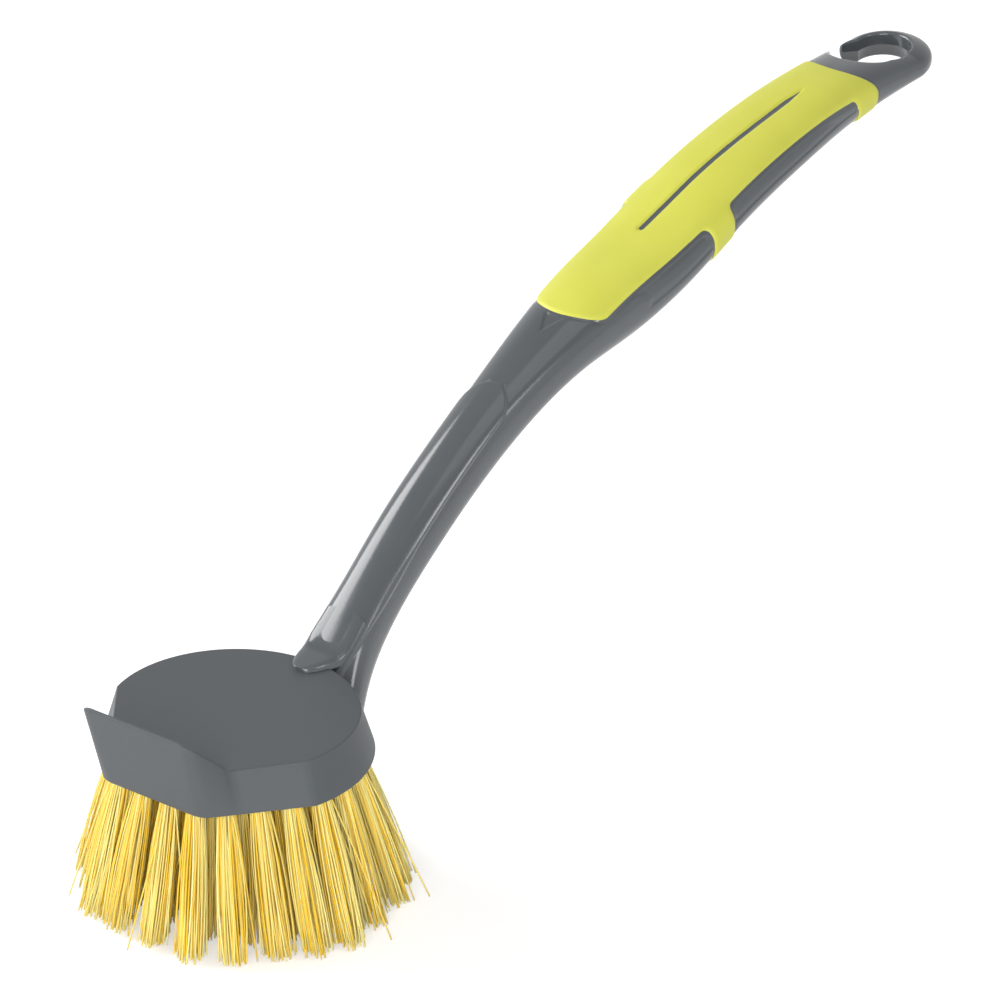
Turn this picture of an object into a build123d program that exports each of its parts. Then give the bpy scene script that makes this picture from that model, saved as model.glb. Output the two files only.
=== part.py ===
from build123d import *
import math
import os

# A dish brush. The origin is on the floor under the middle of the round head, +Z is up,
# +X runs towards the handle's end and -Y is the side that the photograph shows nearer.
# All lengths are millimetres, all angles degrees.

# The head: a round plate with a sloping side wall and a straight front
bristle_length = 35.3
head_thickness = 10.1
head_underside_radius = 31.3
head_top_radius = 28.4
front_reach = 28.1
front_half_width = 14.0
side_join_angle = 105.0
side_turn_share = 0.33

# The scraper lip that stands on the front edge
lip_height = 10.7
lip_lean = 5.6
lip_flare = 1.3
lip_root_thickness = 2.2
lip_edge_thickness = 0.9
wing_thickness = 1.1
wing_reach = 21.5
wing_half_width = 16.9
fold_radius = 2.0
rim_radius = 0.6

# The handle's route, seen from the side: two arcs that flatten towards the end
root_x = 29.2
root_drop = 0.6
root_heading = 46.0
bend_heading = 18.5
neck_bend_radius = 225.0
grip_bend_radius = 520.0

# The handle's sections along the route, as shares of the three sizes above the table
handle_half_width = 13.4
handle_half_depth = 7.9
handle_sag = 2.3
section_power = 2.5
section_points = 8
station_shares = [
    # along the route, half width, half depth, sag
    (0.000, 0.895, 0.710, 0.00),
    (0.030, 0.715, 0.760, 0.00),
    (0.056, 0.600, 0.785, 0.00),
    (0.085, 0.530, 0.790, 0.00),
    (0.184, 0.525, 0.760, -0.11),
    (0.321, 0.555, 0.800, -0.11),
    (0.444, 0.745, 0.860, 0.04),
    (0.509, 0.880, 1.000, 0.52),
    (0.577, 1.000, 0.875, 0.70),
    (0.688, 0.985, 0.800, -0.04),
    (0.799, 0.940, 0.720, -0.30),
    (0.902, 0.805, 0.735, 0.13),
    (0.935, 0.796, 0.682, 0.39),
    (0.968, 0.808, 0.595, 0.69),
    (1.000, 0.830, 0.495, 1.00),
]

# The raised tongue on the neck and the pointed beak that lies on the plate
tongue_rise = 0.6
tongue_half_width = 6.3
tongue_end_x = 93.7
beak_reach = 22.6
beak_height = 1.0
beak_run = 12.0
beak_crest_half_width = 3.0
beak_crest_rise = 4.2

# The soft grip moulded round the handle
grip_rise = 0.35
grip_thickness = 1.7
nose_x = 116.0
nose_length = 7.4
nose_half_width = 9.7
mid_band_x = 160.8
mid_band_width = 8.3
band_bulge = 1.2
mid_band_slant = 6.0
grip_mid_half_width = 11.3
grip_end_half_width = 10.2
end_band_x = 216.5
grip_end_x = 221.3
grip_end_radius = 15.0
slot_start_x = 148.3
slot_end_x = 208.8
slot_width = 1.4
slot_point = 6.0
leaf_tip_x = 109.8
leaf_half_width = 3.0
leaf_depth = 0.35

# The hanging hook: a long opening with a mouth on its far side, measured back from the ring's middle
loop_ring_x = 243.0
loop_hole_offset = 0.8
loop_hole_radius = 6.8
loop_straight = 6.0
loop_back = 14.3
loop_back_offset = 2.0
prong_tip_back = 9.2
prong_tip_offset = 9.2
prong_slope = 0.6
free_end_back = 0.5
free_end_slope = 1.1

# The tufts: rings of blind holes that lean outwards, one folded bundle in each
ring_insets = [5.0, 12.0, 19.0]
ring_counts = [22, 15, 8]
tip_spread = 1.27
front_tip_spread = 1.2
hole_radius = 2.0
hole_depth = 6.4
tuft_clearance = 0.05
tuft_recess = 0.7
strands_per_tuft = 10
strand_radius = 0.4
strand_overlap = 2.0
root_fan = 1.35
tip_fan = 3.3

# The flat anchor that pins each tuft
anchor_thickness = 0.5
anchor_height = 2.0
anchor_bite = 0.5
anchor_cover = 1.0

# One overrun serves every cutting solid, one tolerance every choice of edges
overrun = 30.0
edge_tolerance = 0.05

# Levels and places that follow from the sizes
underside = bristle_length
plate_top = underside + head_thickness
lip_top = plate_top + lip_height
neck_arc_length = neck_bend_radius * math.radians(root_heading - bend_heading)


def between(start, end, share):
    """The point at a share of the way from start to end."""
    return start + (end - start) * share


def route(distance):
    """The frame of the handle's section at a distance along the route: X across, Y up, Z along."""
    root = Vector(root_x, 0, underside - root_drop)
    start, middle = math.radians(root_heading), math.radians(bend_heading)
    first = min(distance, neck_arc_length)
    second = max(distance - neck_arc_length, 0)
    angle = start - first / neck_bend_radius
    place = root + Vector(math.sin(start) - math.sin(angle), 0, math.cos(angle) - math.cos(start)) * neck_bend_radius
    if second > 0:
        angle = middle - second / grip_bend_radius
        place += Vector(math.sin(middle) - math.sin(angle), 0, math.cos(angle) - math.cos(middle)) * grip_bend_radius
    return Plane(origin=place, x_dir=(0, 1, 0), z_dir=(math.cos(angle), 0, math.sin(angle)))


def distance_at(x):
    """The distance along the route at which it passes over x."""
    low, high = 0, neck_arc_length + grip_bend_radius * math.radians(bend_heading)
    for _ in range(40):
        middle = (low + high) / 2
        if route(middle).origin.X < x:
            low = middle
        else:
            high = middle
    return (low + high) / 2


handle_length = distance_at(loop_ring_x)


def half_rim(half_width, half_depth, side):
    """Half of the rounded oval section's rim, from bottom to top, on the side +1 or -1."""
    power = 2 / section_power
    points = []
    for index in range(section_points + 1):
        turn = math.pi * (index / section_points - 1 / 2)
        across = abs(math.cos(turn)) ** power if 0 < index < section_points else 0
        up = math.copysign(abs(math.sin(turn)) ** power, turn) if turn else 0
        points.append((side * across * half_width, up * half_depth))
    return Spline(points, tangents=[(side, 0), (-side, 0)])


def station_frame(shares):
    """The frame of one station's section, lowered by its sag."""
    along, _, _, sag_share = shares
    frame = route(along * handle_length)
    return Plane(
        origin=frame.origin - frame.y_dir * sag_share * handle_sag, x_dir=frame.x_dir, z_dir=frame.z_dir
    )


def section_size(shares, growth):
    """Half the width and half the depth of the handle's section, grown outwards by growth."""
    _, width_share, depth_share, _ = shares
    return width_share * handle_half_width + growth, depth_share * handle_half_depth + growth


def section_face(shares, growth):
    """The handle's section at one station, made of two mirrored halves."""
    size = section_size(shares, growth)
    return station_frame(shares) * make_face([half_rim(*size, 1), half_rim(*size, -1)])


def handle_envelope(growth):
    """The handle's outer shape from root to loop, grown outwards by growth, with its round end."""
    shaft = loft([section_face(shares, growth) for shares in station_shares])
    last = station_shares[-1]
    size = section_size(last, growth)
    frame = station_frame(last)
    half_section = frame * make_face([half_rim(*size, 1), Line((0, size[1]), (0, -size[1]))])
    cap = revolve(half_section, Axis(frame.origin, -frame.y_dir), 180)
    return shaft + cap


def side_solid(outline):
    """A solid whose outline is seen from the side, through the whole width of the brush."""
    return extrude(Plane.XZ * make_face(outline), overrun, both=True)


def side_join(level, radius):
    """Where the far side runs into the round of the head, with a faint crease."""
    angle = math.radians(side_join_angle)
    return Vector(radius * math.cos(angle), radius * math.sin(angle), level)


def head_outline(level, radius, corner, turn):
    """The head's outline at a level: straight front, two sides that turn once, and the round."""
    far = [corner, turn, side_join(level, radius)]
    near = [Vector(point.X, -point.Y, point.Z) for point in far]
    back = Vector(radius, 0, level)
    half_angle = math.radians(side_join_angle) / 2
    side = Vector(radius * math.cos(half_angle), radius * math.sin(half_angle), level)
    return Wire([
        Line(near[0], far[0]).edge(),
        Line(far[0], far[1]).edge(),
        Line(far[1], far[2]).edge(),
        ThreePointArc(far[2], side, back).edge(),
        ThreePointArc(back, Vector(side.X, -side.Y, level), near[2]).edge(),
        Line(near[2], near[1]).edge(),
        Line(near[1], near[0]).edge(),
    ])


def wing_end():
    """Where the far wing of the lip runs out on the plate's rim."""
    return Vector(-wing_reach, wing_half_width, plate_top)


def front_corner(level):
    """The far corner of the front face at a level, on the line that leans forward and flares."""
    share = (level - underside) / (lip_top - underside)
    return Vector(-front_reach - lip_lean * share, front_half_width + lip_flare * share, level)


def mirrored(points):
    return points + [Vector(point.X, -point.Y, point.Z) for point in points]


def make_head():
    """The plate with its sloping side wall."""
    corner = front_corner(underside)
    turn = between(corner, side_join(underside, head_underside_radius), side_turn_share)
    lower = head_outline(underside, head_underside_radius, corner, turn)
    upper = head_outline(plate_top, head_top_radius, front_corner(plate_top), wing_end())
    return loft([Face(lower), Face(upper)], ruled=True)


def make_lip():
    """The scraper lip: a leaning front wall with two wings that fall to the plate's rim."""
    foot = front_corner(plate_top)
    peak = front_corner(lip_top)
    block = ConvexPolyhedron(mirrored([foot, peak, peak + Vector(lip_edge_thickness, 0, 0), wing_end()]))
    wing = (wing_end() - foot).normalized()
    inward = Vector(wing.Y, -wing.X, 0) * wing_thickness
    slope = wing.Y / wing.X

    def inner_corner(corner, thickness):
        x = corner.X + thickness
        return Vector(x, corner.Y + inward.Y + (thickness - inward.X) * slope, corner.Z)

    inner_foot = inner_corner(foot, lip_root_thickness)
    inner_peak = inner_corner(peak, lip_edge_thickness)
    inner_top = between(inner_foot, inner_peak, 2)
    hollow = [inner_foot, inner_top]
    hollow += [point + wing * overrun for point in hollow]
    return block - ConvexPolyhedron(mirrored(hollow))


def make_front():
    """The head and the lip in one, with soft vertical folds and a soft rim."""
    front = make_head() + make_lip()
    low, high = front_corner(underside), front_corner(lip_top)
    direction = (high - low).normalized()

    def on_fold(edge):
        middle = edge.center()
        reach = Vector(middle.X, abs(middle.Y), middle.Z) - low
        return (reach - direction * reach.dot(direction)).length < edge_tolerance

    def on_rim(edge):
        middle = edge @ 0.5
        far_middle = Vector(middle.X, abs(middle.Y), middle.Z)
        on_round = abs(math.hypot(middle.X, middle.Y) - head_top_radius) < edge_tolerance
        side_middle = between(wing_end(), side_join(plate_top, head_top_radius), 1 / 2)
        on_side = (far_middle - side_middle).length < edge_tolerance
        return (on_round or on_side) and abs(middle.Z - plate_top) < edge_tolerance

    front = fillet([edge for edge in front.edges() if on_fold(edge)], fold_radius)
    return fillet([edge for edge in front.edges() if on_rim(edge)], rim_radius)


def make_beak():
    """The pointed foot of the tongue, which lies on the plate."""
    tip = Vector(beak_reach, 0, plate_top)
    base = Vector(beak_reach + beak_run, tongue_half_width, plate_top)
    shoulder = base + Vector(0, 0, beak_crest_rise / 2)
    crest = Vector(base.X, beak_crest_half_width, plate_top + beak_crest_rise)
    return ConvexPolyhedron(mirrored([base, shoulder, crest]) + [tip, tip + Vector(0, 0, beak_height)])


def make_tongue(outer):
    """The raised tongue along the top of the neck, with its round upper end."""
    round_x = tongue_end_x - tongue_half_width
    start_x = beak_reach + beak_run
    plan = make_face([
        Line((start_x, -tongue_half_width), (round_x, -tongue_half_width)),
        ThreePointArc((round_x, -tongue_half_width), (tongue_end_x, 0), (round_x, tongue_half_width)),
        Line((round_x, tongue_half_width), (start_x, tongue_half_width)),
        Line((start_x, tongue_half_width), (start_x, -tongue_half_width)),
    ])
    column = extrude(Plane.XY * plan, route(handle_length).origin.Z + overrun)
    start, middle, end = [route(distance_at(x)).origin for x in (start_x, (start_x + tongue_end_x) / 2, tongue_end_x)]
    above = side_solid([
        ThreePointArc((start.X, start.Z), (middle.X, middle.Z), (end.X, end.Z)),
        Line((end.X, end.Z), (end.X, end.Z + overrun)),
        Line((end.X, end.Z + overrun), (start.X, end.Z + overrun)),
        Line((start.X, end.Z + overrun), (start.X, start.Z)),
    ])
    return outer & (column & above)


def make_band(start_x, end_x, slant):
    """A slab across the handle where the grip goes all the way round, bulging towards the end."""
    frame = route(distance_at((start_x + end_x) / 2))
    half = (end_x - start_x) / 2
    reach = handle_half_depth * 2

    def place(forward, height):
        point = frame.origin + frame.z_dir * forward + frame.y_dir * height
        return point.X, point.Z

    return side_solid([
        ThreePointArc(place(-half - slant, -reach), place(-half + band_bulge, 0), place(-half, reach)),
        Line(place(-half, reach), place(half, reach)),
        ThreePointArc(place(half, reach), place(half + band_bulge, 0), place(half - slant, -reach)),
        Line(place(half - slant, -reach), place(-half - slant, -reach)),
    ])


def make_grip_zone():
    """The space that the grip takes up on the handle, seen from above and from the side."""
    nose_middle = nose_x + nose_length
    past_end_x = grip_end_x + grip_end_radius / 2
    top_level = route(handle_length).origin.Z + overrun
    outline = [
        Spline(
            [(nose_middle, nose_half_width), (nose_x, 0), (nose_middle, -nose_half_width)],
            tangents=[(-1, 0), (1, 0)],
        ),
        Line((nose_middle, -nose_half_width), (mid_band_x, -grip_mid_half_width)),
        Line((mid_band_x, -grip_mid_half_width), (past_end_x, -grip_end_half_width)),
        Line((past_end_x, -grip_end_half_width), (past_end_x, grip_end_half_width)),
        Line((past_end_x, grip_end_half_width), (mid_band_x, grip_mid_half_width)),
        Line((mid_band_x, grip_mid_half_width), (nose_middle, nose_half_width)),
    ]
    column = extrude(Plane.XY * make_face(outline), top_level)
    start, middle, end = [
        route(distance_at(x)).origin
        for x in (nose_x - nose_length, mid_band_x, loop_ring_x)
    ]
    above = side_solid([
        ThreePointArc((start.X, start.Z), (middle.X, middle.Z), (end.X, end.Z)),
        Line((end.X, end.Z), (end.X, top_level)),
        Line((end.X, top_level), (start.X, top_level)),
        Line((start.X, top_level), (start.X, start.Z)),
    ])
    half_band = mid_band_width / 2
    bands = [
        make_band(mid_band_x - half_band, mid_band_x + half_band, mid_band_slant),
        make_band(end_band_x, past_end_x, 0),
    ]
    end_round = Pos(grip_end_x + grip_end_radius, 0, 0) * Cylinder(
        grip_end_radius, top_level, align=(Align.CENTER, Align.CENTER, Align.MIN)
    )
    half_slot = slot_width / 2
    slot_plan = make_face([
        ThreePointArc((slot_start_x + half_slot, half_slot), (slot_start_x, 0), (slot_start_x + half_slot, -half_slot)),
        Line((slot_start_x + half_slot, -half_slot), (slot_end_x - slot_point, -half_slot)),
        Line((slot_end_x - slot_point, -half_slot), (slot_end_x, 0)),
        Line((slot_end_x, 0), (slot_end_x - slot_point, half_slot)),
        Line((slot_end_x - slot_point, half_slot), (slot_start_x + half_slot, half_slot)),
    ])
    slot_floor = route(distance_at(slot_start_x)).origin.Z
    slot = extrude(Pos(0, 0, slot_floor) * slot_plan, overrun)
    return ((column & above) + bands) - [end_round, slot]


def make_leaf():
    """The shallow leaf-shaped mark on the handle just below the grip's nose."""
    frame = route(distance_at((leaf_tip_x + nose_x) / 2))
    shares = min(station_shares, key=lambda row: abs(row[0] * handle_length - distance_at(nose_x)))
    surface = shares[2] * handle_half_depth
    seat = Plane(origin=frame.origin + frame.y_dir * (surface - leaf_depth), x_dir=frame.z_dir, z_dir=frame.y_dir)
    half_length = (nose_x - leaf_tip_x) / 2
    leaf = make_face([
        Line((-half_length, 0), (half_length, -leaf_half_width)),
        Line((half_length, -leaf_half_width), (half_length, leaf_half_width)),
        Line((half_length, leaf_half_width), (-half_length, 0)),
    ])
    return extrude(seat * leaf, leaf_depth * 3)


def make_loop_cut():
    """The hook's opening: a round end, a straight near side, a rounded back and the mouth between
    the prong's tip and the free end."""
    near = loop_hole_offset - loop_hole_radius
    free_end = (-free_end_back, loop_hole_offset + math.sqrt(loop_hole_radius**2 - free_end_back**2))
    beyond = handle_half_width
    free_end_out = (-free_end_back - (beyond - free_end[1]) * free_end_slope, beyond)
    prong_tip = (-prong_tip_back, prong_tip_offset)
    straight_end = (-loop_straight, near)
    back = (-loop_back, loop_back_offset)
    opening = make_face([
        ThreePointArc(free_end, (loop_hole_radius, loop_hole_offset), (0, near)),
        Line((0, near), straight_end),
        Spline([straight_end, back, prong_tip], tangents=[(-1, 0), (1, prong_slope)]),
        Line(prong_tip, (-prong_tip_back, beyond)),
        Line((-prong_tip_back, beyond), free_end_out),
        Line(free_end_out, free_end),
    ])
    level = route(handle_length).origin.Z
    return extrude(Pos(loop_ring_x, 0, level) * opening, overrun, both=True)


def ring_places(inset, count):
    """Evenly spaced places on the head's outline, drawn in by inset."""
    corner, join = front_corner(underside), side_join(underside, head_underside_radius)
    slope = (join.Y - corner.Y) / (join.X - corner.X)
    radius = head_underside_radius - inset
    inner_join = side_join(underside, radius)
    x = inset - front_reach
    inner_corner = Vector(x, inner_join.Y + (x - inner_join.X) * slope, underside)
    ring = head_outline(underside, radius, inner_corner, between(inner_corner, inner_join, side_turn_share))
    return [ring @ ((index + 1 / 2) / count) for index in range(count)]


def tuft_places():
    places = [place for inset, count in zip(ring_insets, ring_counts) for place in ring_places(inset, count)]
    return places + [Vector(0, 0, underside)]


def tuft_tip(place):
    """Where the middle of a tuft meets the floor; the front ones lean out a little less."""
    along_spread = tip_spread if place.X > 0 else front_tip_spread
    return Vector(place.X * along_spread, place.Y * tip_spread, 0)


def tuft_frame(place):
    """The frame of a tuft's hole: its origin on the underside, Z up into the head."""
    return Plane(origin=place, x_dir=(0, 1, 0), z_dir=place - tuft_tip(place))


def tuft_anchor(place):
    """The flat anchor across a hole, with its ends bitten into the head."""
    length = (hole_radius + anchor_bite) * 2
    middle = hole_depth - anchor_cover - anchor_height / 2
    return tuft_frame(place) * Pos(0, 0, middle) * Box(length, anchor_thickness, anchor_height)


def tuft_hole(place):
    """What a tuft takes away from the head: its blind hole and the anchor's bites."""
    mouth = hole_radius
    hole = Pos(0, 0, (hole_depth - mouth) / 2) * Cylinder(hole_radius, hole_depth + mouth)
    return [tuft_frame(place) * hole, tuft_anchor(place)]


def make_strand(place, offset):
    """One three-sided bristle from inside the tuft's root to the floor."""
    tip = tuft_tip(place) + offset * tip_fan
    mouth = place + offset * root_fan
    top = between(tip, mouth, 1 + strand_overlap / bristle_length)
    triangle = Pos(tip.X, tip.Y, tip.Z) * RegularPolygon(strand_radius, 3)
    run = top - tip
    return extrude(triangle, run.length, dir=run.normalized())


def make_tuft(place):
    """One folded bundle: its root in the hole, split over the anchor, and its strands."""
    length = hole_depth - tuft_recess
    root = Pos(0, 0, tuft_recess + length / 2) * Cylinder(hole_radius - tuft_clearance, length)
    golden_angle = math.pi * (3 - math.sqrt(5))
    offsets = [
        Vector(math.cos(index * golden_angle), math.sin(index * golden_angle), 0)
        * math.sqrt((index + 1 / 2) / strands_per_tuft)
        for index in range(strands_per_tuft)
    ]
    strands = [make_strand(place, offset) for offset in offsets]
    return (tuft_frame(place) * root - tuft_anchor(place)) + strands


def make_handle_body(outer, zone, core):
    """The one grey moulding: head, lip, neck, tongue, handle core and loop."""
    envelope = handle_envelope(0)
    below = Pos(0, 0, underside) * Box(
        overrun * 4, overrun * 2, overrun, align=(Align.CENTER, Align.CENTER, Align.MAX)
    )
    shaft = envelope - (zone - core) - below - make_leaf() - make_loop_cut()
    body = make_front() + shaft + make_beak() + make_tongue(outer)
    holes = [tool for place in tuft_places() for tool in tuft_hole(place)]
    return body - holes


def make_grip(outer, zone, core):
    """The lime overmould, face to face with the moulding under it."""
    return (outer & zone) - core


def write(node, shape):
    export_step(shape, os.path.join("parts", node + ".step"))


os.makedirs("parts", exist_ok=True)
grip_zone = make_grip_zone()
tongue_outer = handle_envelope(tongue_rise)
grip_outer = handle_envelope(grip_rise)
grip_core = handle_envelope(-grip_thickness)
write("handle_body", make_handle_body(tongue_outer, grip_zone, grip_core))
write("grip", make_grip(grip_outer, grip_zone, grip_core))
write("tuft_anchors", Compound(children=[tuft_anchor(place) for place in tuft_places()]))
for number, place in enumerate(tuft_places(), start=1):
    write(f"tuft_{number:02d}", make_tuft(place))
print("handle length along its route", round(handle_length, 1))
print("tufts", len(tuft_places()), "strands", len(tuft_places()) * strands_per_tuft)
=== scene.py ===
# %% [markdown]
# # A dish brush
# This lesson dresses a hand dish brush: a grey moulding with a round head, a scraper lip and a long
# curved handle, a soft lime grip moulded round the handle, and forty-six tufts of yellow bristles.
# The solid model gives the sizes and the places. Every visible surface here is worked out with numpy
# as a grid of points, because smooth plastic shows each flat facet in its highlights.

# %% Load the solid model as the frame
import math

import bpy
import numpy as np
from mathutils import Matrix, Vector


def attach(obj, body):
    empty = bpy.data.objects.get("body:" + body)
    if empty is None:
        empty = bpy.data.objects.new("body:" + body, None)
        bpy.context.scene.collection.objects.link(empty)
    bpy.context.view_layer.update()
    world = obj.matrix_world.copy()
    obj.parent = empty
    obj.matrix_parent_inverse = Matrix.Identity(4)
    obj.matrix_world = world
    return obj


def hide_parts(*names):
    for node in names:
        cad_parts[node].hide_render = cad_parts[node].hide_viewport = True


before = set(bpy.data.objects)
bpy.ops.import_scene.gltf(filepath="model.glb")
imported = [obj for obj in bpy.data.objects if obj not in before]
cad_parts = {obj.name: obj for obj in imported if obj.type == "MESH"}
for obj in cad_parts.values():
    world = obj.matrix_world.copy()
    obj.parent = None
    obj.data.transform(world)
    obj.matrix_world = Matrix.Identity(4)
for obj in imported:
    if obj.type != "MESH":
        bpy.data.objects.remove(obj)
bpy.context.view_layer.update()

print("solid pieces", len(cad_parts))

# %% [markdown]
# ## Lengths
# The brush was drawn in millimetres, and Blender works in metres. So all sizes below are written in
# millimetres, as a maker would note them, and one helper turns the finished points into metres.
# The heights follow from each other: bristles, then the head's plate, then the scraper lip.

# %% Sizes of the brush in millimetres
MM = 0.001
underside = 35.3
plate_top = underside + 10.1
lip_top = plate_top + 10.7
underside_radius = 31.3
top_radius = 28.4
front_reach = 28.1
front_half_width = 14.0
lip_lean = 5.6
lip_flare = 1.3
wing_reach = 21.5
wing_half_width = 16.9
side_turn_share = 0.33
side_join_angle = math.radians(105.0)
print("plate top at", plate_top, "lip top at", lip_top)

# %% [markdown]
# ## From arrays to a mesh
# A surface here is a grid: rows run one way over the piece and columns the other. Four neighbours make
# a face, so the faces can be listed for the whole grid at once by adding one and the row length to each
# corner's number. A grid whose columns close on themselves, as round a handle, wraps back to column 0.


# %% A helper that lists a grid's faces
def grid_quads(rows, columns, wrap=False):
    """Corner numbers of every face: (r, c), (r, c+1), (r+1, c+1), (r+1, c), with c+1 taken modulo the
    columns where the grid wraps."""
    last = columns if wrap else columns - 1
    row, column = np.meshgrid(np.arange(rows - 1), np.arange(last), indexing="ij")
    right = (column + 1) % columns
    here, next_row = row * columns, (row + 1) * columns
    return np.stack([here + column, here + right, next_row + right, next_row + column], -1).reshape(-1, 4)


# %% A helper that closes an open end with triangles round one middle point
def fan(ring, centre):
    """Triangles (ring[i], ring[i+1], centre) for each step round a closed ring of point numbers."""
    return np.stack([ring, np.roll(ring, -1), np.full(len(ring), centre)], -1)


# %% A helper that makes the piece
def make_piece(name, points, quads, triangles=(), material=None):
    """Puts the points, in millimetres, and the faces into a mesh, drops points that no face uses, and
    makes the piece ride on the brush's one body."""
    corners = np.concatenate([np.ravel(quads), np.ravel(triangles)]).astype(int)
    used, places = np.unique(corners, return_inverse=True)
    count = np.size(quads)
    faces = places[:count].reshape(-1, 4).tolist() + places[count:].reshape(-1, 3).tolist()
    mesh = bpy.data.meshes.new(name)
    mesh.from_pydata((np.asarray(points)[used] * MM).tolist(), [], faces)
    mesh.polygons.foreach_set("use_smooth", np.ones(len(mesh.polygons), bool))
    mesh.update()
    piece = bpy.data.objects.new(name, mesh)
    bpy.context.scene.collection.objects.link(piece)
    if material:
        mesh.materials.append(material)
    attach(piece, "root")
    print(name, len(mesh.polygons), "faces")
    return piece


# %% [markdown]
# ## Grey plastic
# The head and the handle are one moulding in dark grey plastic. It is matt on the head, where the mould
# was etched, and smooth on the handle, which carries long white reflections. So one recipe makes two
# finishes that differ in roughness, and a fine noise breaks colour and gloss up a little.


# %% Node helpers and the grey plastic
def new_material(name):
    """A material with one Principled shader, returned with its nodes and links."""
    material = bpy.data.materials.new(name)
    material.use_nodes = True
    nodes, links = material.node_tree.nodes, material.node_tree.links
    return material, nodes, links, nodes["Principled BSDF"]


def object_noise(nodes, links, scale, detail):
    """Noise on Object coordinates; the scale counts cells to a metre."""
    place = nodes.new("ShaderNodeTexCoord")
    noise = nodes.new("ShaderNodeTexNoise")
    noise.inputs["Scale"].default_value = scale
    noise.inputs["Detail"].default_value = detail
    links.new(place.outputs["Object"], noise.inputs["Vector"])
    return noise


def ranged(nodes, links, source, low, high, to_low, to_high):
    """Maps low..high smoothly to to_low..to_high."""
    node = nodes.new("ShaderNodeMapRange")
    node.interpolation_type = "SMOOTHSTEP"
    for key, value in (("From Min", low), ("From Max", high), ("To Min", to_low), ("To Max", to_high)):
        node.inputs[key].default_value = value
    links.new(source, node.inputs["Value"])
    return node.outputs["Result"]


def add_bump(nodes, links, shader, height, strength, distance):
    """Tilts the shading by the slope of a height pattern, a given distance deep."""
    bump = nodes.new("ShaderNodeBump")
    bump.inputs["Strength"].default_value = strength
    bump.inputs["Distance"].default_value = distance
    links.new(height, bump.inputs["Height"])
    links.new(bump.outputs["Normal"], shader.inputs["Normal"])


def set_colour(nodes, links, shader, factor, first, second):
    """Base colour that runs from the first colour to the second with the factor."""
    ramp = nodes.new("ShaderNodeValToRGB")
    ramp.color_ramp.elements[0].color = (*first, 1)
    ramp.color_ramp.elements[1].color = (*second, 1)
    links.new(factor, ramp.inputs["Fac"])
    links.new(ramp.outputs["Color"], shader.inputs["Base Color"])


def grey_finish(name, smooth, worn, gloss):
    """Dark grey plastic whose roughness drifts between two values with the same noise as its colour."""
    material, nodes, links, shader = new_material(name)
    cloudy = object_noise(nodes, links, 60, 4)
    set_colour(nodes, links, shader, cloudy.outputs["Fac"], (0.070, 0.080, 0.088), (0.086, 0.097, 0.106))
    links.new(ranged(nodes, links, cloudy.outputs["Fac"], 0.3, 0.7, smooth, worn), shader.inputs["Roughness"])
    shader.inputs["Specular IOR Level"].default_value = gloss
    fine = object_noise(nodes, links, 2600, 3)
    add_bump(nodes, links, shader, fine.outputs["Fac"], 0.12, 0.00006)
    print(name, len(nodes), "nodes")
    return material


grey_matt = grey_finish("grey_matt", 0.5, 0.58, 0.5)
grey_plastic = grey_finish("grey_smooth", 0.13, 0.17, 0.75)

# %% [markdown]
# ## Lime grip rubber
# The grip is a soft overmould. It is a little translucent in life, so its colour is even and warm, and
# its gloss is wide and weak. The noise here is coarse and faint, like the flow marks in soft plastic.

# %% The lime overmould
lime_grip, nodes, links, shader = new_material("lime_grip")
cloudy = object_noise(nodes, links, 90, 3)
set_colour(nodes, links, shader, cloudy.outputs["Fac"], (0.64, 0.645, 0.07), (0.73, 0.735, 0.105))
shader.inputs["Roughness"].default_value = 0.5
shader.inputs["Subsurface Weight"].default_value = 0.15
shader.inputs["Subsurface Radius"].default_value = (0.002, 0.002, 0.0006)
shader.inputs["Subsurface Scale"].default_value = 1.0
fine = object_noise(nodes, links, 1800, 2)
add_bump(nodes, links, shader, fine.outputs["Fac"], 0.1, 0.00008)
print("lime grip", len(nodes), "nodes")

# %% [markdown]
# ## Bristle filament
# Each filament is clear yellow plastic that passes light to its neighbours, so a tuft is pale where the
# light falls on it and orange inside. Each filament gets its own shade from 0 to 1 at random, kept in a
# mesh attribute, and the colour runs from straw to deep yellow with it. On the inner tufts the values are
# held lower, which is painted shade.

# %% Yellow filament
yellow_filament, nodes, links, shader = new_material("yellow_filament")
shade = nodes.new("ShaderNodeAttribute")
shade.attribute_name = "shade"
set_colour(nodes, links, shader, shade.outputs["Fac"], (0.99, 0.64, 0.03), (1.0, 0.95, 0.40))
shader.inputs["Roughness"].default_value = 0.32
shader.inputs["Specular IOR Level"].default_value = 0.3
print("yellow filament", len(nodes), "nodes")

# %% [markdown]
# ## The handle's route
# Seen from the side, the handle is two arcs: a tighter one for the neck and a wide one under the grip.
# A point on an arc of radius R with heading a lies at R times (sin a0 - sin a, cos a - cos a0) from its
# start, so the whole route is worked out at once for any list of distances.

# %% The route
root_x = 29.2
root_z = underside - 0.6
root_heading = math.radians(46.0)
bend_heading = math.radians(18.5)
neck_radius = 225.0
grip_radius = 520.0
neck_arc = neck_radius * (root_heading - bend_heading)
ring_x = 243.0


def route(distance):
    """Centre x, z and heading: on the first arc the heading falls by distance / neck radius, on the
    second by the rest / grip radius, and each arc adds R (sin a0 - sin a, cos a - cos a0)."""
    first = root_heading - np.minimum(distance, neck_arc) / neck_radius
    second = bend_heading - np.maximum(distance - neck_arc, 0) / grip_radius
    x = root_x + neck_radius * (math.sin(root_heading) - np.sin(first))
    x += grip_radius * (math.sin(bend_heading) - np.sin(second))
    z = root_z + neck_radius * (np.cos(first) - math.cos(root_heading))
    z += grip_radius * (np.cos(second) - math.cos(bend_heading))
    return x, z, np.where(distance < neck_arc, first, second)


table_distance = np.linspace(0, 300, 3001)
table_x = route(table_distance)[0]


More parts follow.
